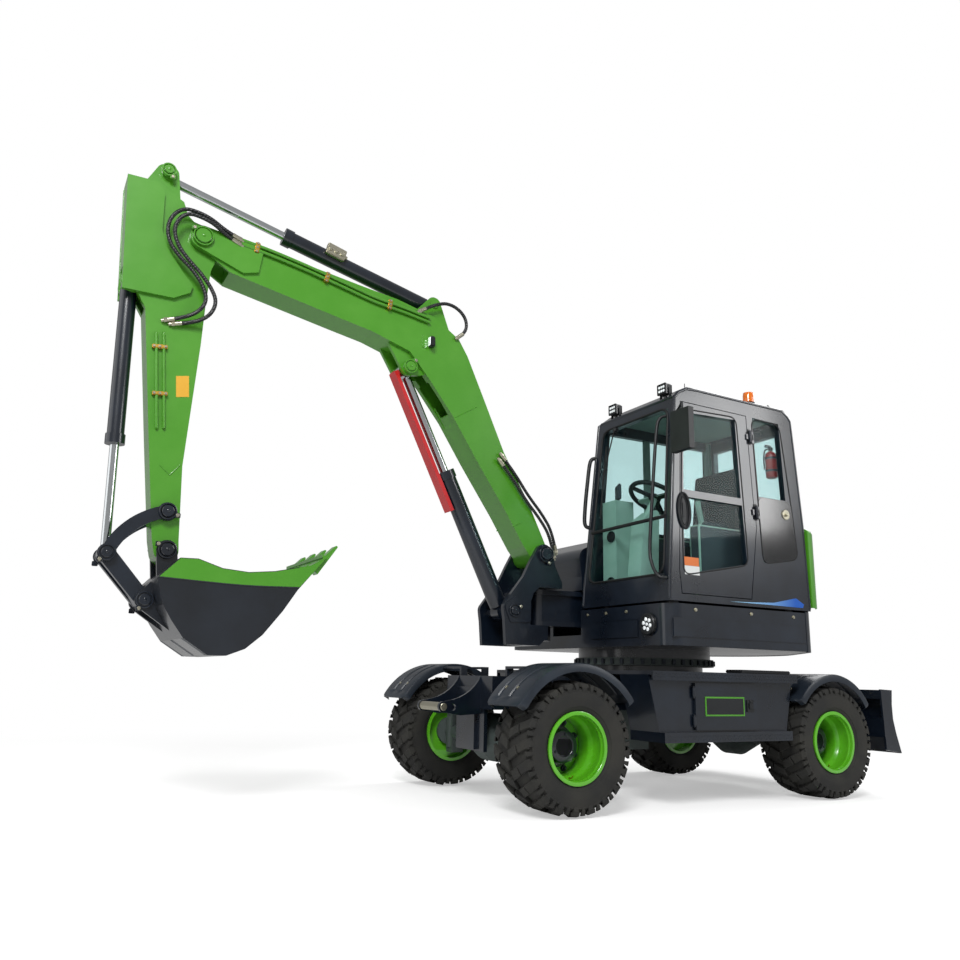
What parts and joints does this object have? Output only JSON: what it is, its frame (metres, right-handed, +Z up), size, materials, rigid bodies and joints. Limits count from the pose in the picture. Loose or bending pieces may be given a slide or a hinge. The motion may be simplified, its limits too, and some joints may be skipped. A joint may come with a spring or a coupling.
{
  "type": "wheeled excavator",
  "caption": "A compact wheeled excavator in green and navy with a swing boom, cab, rear blade and toothed bucket, standing parked with its arm hanging",
  "frame": {"origin": "centre of the machine's overall box, on the ground", "axes": "X forwards towards the boom, Y to the machine's left, Z up"},
  "size_m": [5.758, 2.196, 4.025],
  "materials": {
    "navy_paint": "satin",
    "green_paint": "satin",
    "lime_paint": "satin",
    "dark_plastic": "matte",
    "tyre_rubber": "matte",
    "glazing": "polished",
    "chrome_rod": "polished",
    "seat_fabric": "matte",
    "lamp_lens": "polished",
    "amber_lens": "polished",
    "mirror_shell": "matte",
    "trim_grey": "matte",
    "pale_console": "matte",
    "steel_grey": "matte",
    "red_paint": "satin"
  },
  "bodies": {
    "undercarriage": {"chassis_frame": "navy_paint", "side_deck_left": "navy_paint", "side_deck_right": "navy_paint", "fenders": "dark_plastic", "front_axle": "steel_grey", "rear_axle": "steel_grey", "travel_drive": "steel_grey", "slew_ring": "steel_grey"},
    "locker_door": {"locker_door": "navy_paint"},
    "steering_rod": {"steering_rod": "chrome_rod"},
    "knuckle_left": {"knuckle_left": "steel_grey"},
    "knuckle_right": {"knuckle_right": "steel_grey"},
    "blade": {"blade": "navy_paint"},
    "upper": {"upper_frame": "navy_paint", "skirts": "navy_paint", "counterweight": "navy_paint", "side_hood": "navy_paint", "power_pack": "trim_grey", "cab_frame": "navy_paint", "cab_glass": "glazing", "seat": "seat_fabric", "controls": "pale_console", "lamps": "lamp_lens", "beacon": "amber_lens", "mirrors": "mirror_shell"},
    "rear_hood": {"rear_hood": "green_paint"},
    "cab_door": {"cab_door": "navy_paint", "door_glass": "glazing"},
    "swing_post": {"swing_post": "navy_paint"},
    "boom": {"boom": "green_paint"},
    "arm": {"arm": "green_paint"},
    "rocker": {"rocker": "navy_paint"},
    "bucket_link": {"bucket_link": "navy_paint"},
    "bucket": {"bucket": "navy_paint"},
    "boom_cylinder_barrel": {"boom_cylinder_barrel": "navy_paint"},
    "boom_cylinder_rod": {"boom_cylinder_rod": "chrome_rod", "rod_guard": "red_paint"},
    "arm_cylinder_barrel": {"arm_cylinder_barrel": "navy_paint"},
    "arm_cylinder_rod": {"arm_cylinder_rod": "chrome_rod"},
    "bucket_cylinder_barrel": {"bucket_cylinder_barrel": "navy_paint"},
    "bucket_cylinder_rod": {"bucket_cylinder_rod": "chrome_rod"},
    "blade_cylinder_barrel": {"blade_cylinder_barrel": "navy_paint"},
    "blade_cylinder_rod": {"blade_cylinder_rod": "chrome_rod"},
    "wheel_front_left": {"tyre_front_left": "tyre_rubber", "rim_front_left": "lime_paint"},
    "wheel_front_right": {"tyre_front_right": "tyre_rubber", "rim_front_right": "lime_paint"},
    "wheel_rear_left": {"tyre_rear_left": "tyre_rubber", "rim_rear_left": "lime_paint"},
    "wheel_rear_right": {"tyre_rear_right": "tyre_rubber", "rim_rear_right": "lime_paint"}
  },
  "joints": [
    {"name": "slew", "type": "hinge", "parent": "undercarriage", "child": "upper", "pos_m": [-1.208, -0.092, 0.958], "axis": [0, 0, 1], "continuous": true},
    {"name": "boom_swing", "type": "hinge", "parent": "upper", "child": "swing_post", "pos_m": [-0.319, -0.252, 1.446], "axis": [0, 0, 1], "range_deg": [-50, 65]},
    {"name": "boom_lift", "type": "hinge", "parent": "swing_post", "child": "boom", "pos_m": [-0.265, -0.252, 1.698], "axis": [0, -1, 0], "range_deg": [-78, 26]},
    {"name": "boom_cylinder_tilt", "type": "hinge", "parent": "swing_post", "child": "boom_cylinder_barrel", "pos_m": [0.003, -0.252, 1.268], "axis": [0, -1, 0], "range_deg": [-84, 30]},
    {"name": "boom_cylinder_stroke", "type": "slide", "parent": "boom_cylinder_barrel", "child": "boom_cylinder_rod", "axis": [0.4518, 0, 0.8921], "range_m": [-0.66, 0.24]},
    {"name": "arm_crowd", "type": "hinge", "parent": "boom", "child": "arm", "pos_m": [2.388, -0.252, 3.552], "axis": [0, 1, 0], "range_deg": [-85, 28]},
    {"name": "arm_cylinder_tilt", "type": "hinge", "parent": "boom", "child": "arm_cylinder_barrel", "pos_m": [0.681, -0.252, 3.52], "axis": [0, 1, 0], "range_deg": [-8, 8]},
    {"name": "arm_cylinder_stroke", "type": "slide", "parent": "arm_cylinder_barrel", "child": "arm_cylinder_rod", "axis": [0.9745, 0, 0.2245], "range_m": [-0.67, 0.24]},
    {"name": "bucket_curl", "type": "hinge", "parent": "arm", "child": "bucket", "pos_m": [2.402, -0.252, 1.492], "axis": [0, 1, 0], "range_deg": [-100, 15]},
    {"name": "bucket_cylinder_tilt", "type": "hinge", "parent": "arm", "child": "bucket_cylinder_barrel", "pos_m": [2.781, -0.252, 3.16], "axis": [0, 1, 0], "range_deg": [-12, 12]},
    {"name": "bucket_cylinder_stroke", "type": "slide", "parent": "bucket_cylinder_barrel", "child": "bucket_cylinder_rod", "axis": [-0.0304, 0, -0.9995], "range_m": [-0.55, 0.1]},
    {"name": "rocker_turn", "type": "hinge", "parent": "arm", "child": "rocker", "pos_m": [2.421, -0.252, 1.724], "axis": [0, 1, 0], "range_deg": [-84, 14]},
    {"name": "bucket_link_turn", "type": "hinge", "parent": "rocker", "child": "bucket_link", "pos_m": [2.729, -0.252, 1.45], "axis": [0, 1, 0], "range_deg": [-12, 52]},
    {"name": "steer_left", "type": "hinge", "parent": "undercarriage", "child": "knuckle_left", "pos_m": [0.1245, 0.5485, 0.394], "axis": [0, 0, 1], "range_deg": [-25, 25]},
    {"name": "steer_right", "type": "hinge", "parent": "undercarriage", "child": "knuckle_right", "pos_m": [0.1245, -0.7325, 0.394], "axis": [0, 0, 1], "range_deg": [-25, 25]},
    {"name": "steering_stroke", "type": "slide", "parent": "undercarriage", "child": "steering_rod", "axis": [0, -1, 0], "range_m": [-0.07, 0.07]},
    {"name": "wheel_front_left_spin", "type": "hinge", "parent": "knuckle_left", "child": "wheel_front_left", "pos_m": [0.1245, 0.7135, 0.394], "axis": [0, 1, 0], "continuous": true},
    {"name": "wheel_front_right_spin", "type": "hinge", "parent": "knuckle_right", "child": "wheel_front_right", "pos_m": [0.1245, -0.8975, 0.394], "axis": [0, 1, 0], "continuous": true},
    {"name": "wheel_rear_left_spin", "type": "hinge", "parent": "undercarriage", "child": "wheel_rear_left", "pos_m": [-2.1425, 0.7135, 0.394], "axis": [0, 1, 0], "continuous": true},
    {"name": "wheel_rear_right_spin", "type": "hinge", "parent": "undercarriage", "child": "wheel_rear_right", "pos_m": [-2.1425, -0.8975, 0.394], "axis": [0, 1, 0], "continuous": true},
    {"name": "blade_lift", "type": "hinge", "parent": "undercarriage", "child": "blade", "pos_m": [-2.344, -0.092, 0.47], "axis": [0, 1, 0], "range_deg": [-38, 10]},
    {"name": "blade_cylinder_tilt", "type": "hinge", "parent": "undercarriage", "child": "blade_cylinder_barrel", "pos_m": [-2.249, -0.092, 0.745], "axis": [0, 1, 0], "range_deg": [-24, 8]},
    {"name": "blade_cylinder_stroke", "type": "slide", "parent": "blade_cylinder_barrel", "child": "blade_cylinder_rod", "axis": [0.9042, 0, 0.427], "range_m": [-0.2, 0.08]},
    {"name": "cab_door_swing", "type": "hinge", "parent": "upper", "child": "cab_door", "pos_m": [-1.465, 0.89794, 1.916], "axis": [0, -0.0401, 0.9992], "range_deg": [0, 160]},
    {"name": "locker_door_swing", "type": "hinge", "parent": "undercarriage", "child": "locker_door", "pos_m": [-0.83, 0.852, 0.637], "axis": [0, 0, -1], "range_deg": [0, 110]},
    {"name": "rear_hood_lift", "type": "hinge", "parent": "upper", "child": "rear_hood", "pos_m": [-2.017, -0.092, 1.925], "axis": [0, 1, 0], "range_deg": [0, 60]}
  ],
  "couplings": [
    {"joint": "boom_cylinder_tilt", "follows": "boom_lift", "ratio": 0.98},
    {"joint": "boom_cylinder_stroke", "follows": "boom_lift", "m_per_rad": 0.46},
    {"joint": "arm_cylinder_tilt", "follows": "arm_crowd", "ratio": 0.075},
    {"joint": "arm_cylinder_stroke", "follows": "arm_crowd", "m_per_rad": 0.42},
    {"joint": "bucket_cylinder_tilt", "follows": "bucket_curl", "ratio": 0.01},
    {"joint": "bucket_cylinder_stroke", "follows": "bucket_curl", "m_per_rad": 0.304},
    {"joint": "rocker_turn", "follows": "bucket_curl", "ratio": 0.8},
    {"joint": "bucket_link_turn", "follows": "bucket_curl", "ratio": -0.49},
    {"joint": "steer_right", "follows": "steer_left", "ratio": 1},
    {"joint": "steering_stroke", "follows": "steer_left", "m_per_rad": 0.14},
    {"joint": "blade_cylinder_tilt", "follows": "blade_lift", "ratio": 0.49},
    {"joint": "blade_cylinder_stroke", "follows": "blade_lift", "m_per_rad": 0.18}
  ]
}
